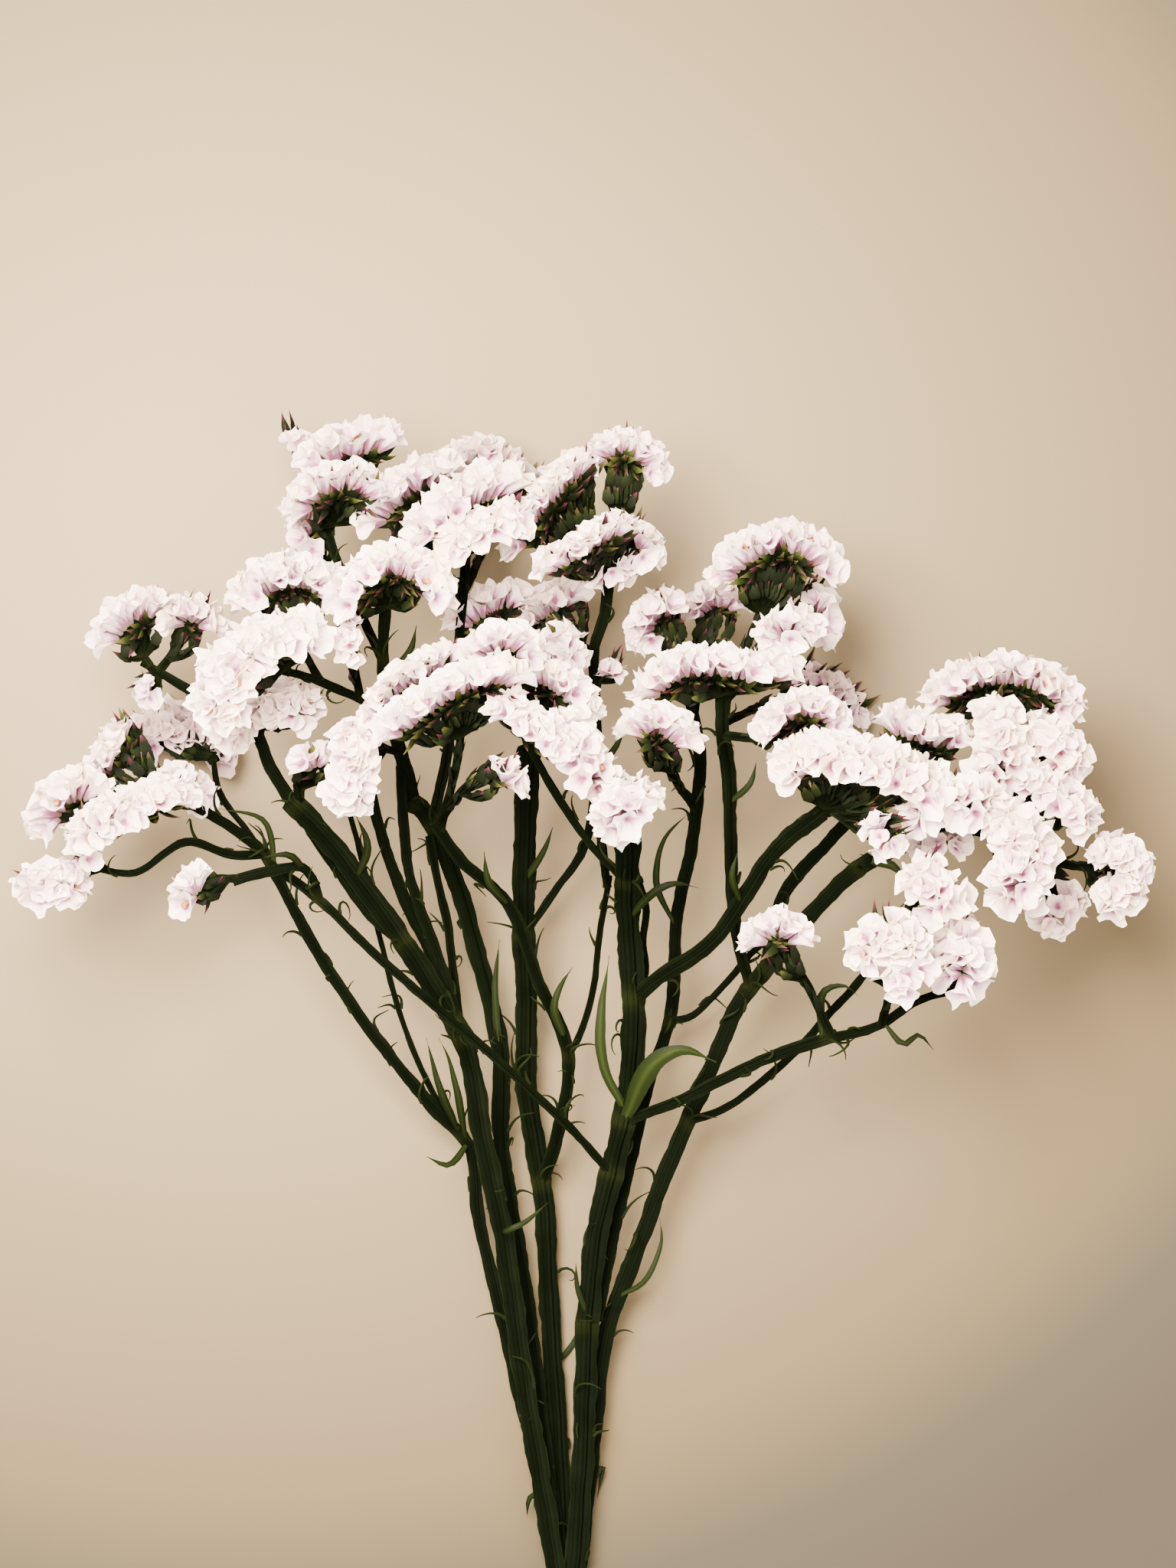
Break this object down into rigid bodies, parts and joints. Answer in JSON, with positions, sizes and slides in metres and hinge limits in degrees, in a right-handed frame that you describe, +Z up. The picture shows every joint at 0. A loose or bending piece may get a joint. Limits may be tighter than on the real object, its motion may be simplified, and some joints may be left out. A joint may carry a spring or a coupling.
{
  "type": "statice stem",
  "caption": "Cut branched flower stem lying on its side: winged green axes fan out from one foot to dense one-sided spikes of papery white florets",
  "frame": {"origin": "on the table under the middle of the whole stem's bounding box", "axes": "+Y runs along the stem from its cut end to the flowers, +X runs across the fan of branches to the right as pictured, +Z points up from the table, towards the side that was pictured"},
  "size_m": [0.3736, 0.51, 0.1093],
  "materials": {
    "stem": "matte, fresh green stem tissue",
    "floret": "matte, papery and slightly translucent"
  },
  "bodies": {
    "root": {"florets_arch_back_right": "floret", "florets_arch_end": "floret", "florets_arch_left": "floret", "florets_bank": "floret", "florets_bank_low": "floret", "florets_bank_top": "floret", "florets_berry": "floret", "florets_cap": "floret", "florets_crest_low": "floret", "florets_far_low": "floret", "florets_far_right": "floret", "florets_fork_back": "floret", "florets_fork_mass": "floret", "florets_fork_row": "floret", "florets_hill_arc": "floret", "florets_hill_back": "floret", "florets_hill_dome": "floret", "florets_hill_front": "floret", "florets_hill_left": "floret", "florets_hill_row": "floret", "florets_hill_shade": "floret", "florets_hill_side": "floret", "florets_lone": "floret", "florets_mass_far": "floret", "florets_mass_mid": "floret", "florets_middle_end": "floret", "florets_middle_left": "floret", "florets_middle_tip": "floret", "florets_pair_right": "floret", "florets_pair_round": "floret", "florets_pair_top": "floret", "florets_puff": "floret", "florets_ridge": "floret", "florets_ridge_drop": "floret", "florets_shade": "floret", "florets_shade_right": "floret", "florets_shelf": "floret", "florets_shelf_side": "floret", "florets_slope_back": "floret", "florets_slope_front": "floret", "florets_small_cap": "floret", "florets_top_back": "floret", "florets_top_dome": "floret", "florets_tuft": "floret", "florets_wing_drop": "floret", "florets_wing_left": "floret", "florets_wing_right": "floret", "winged_stem": "stem"}
  },
  "joints": []
}
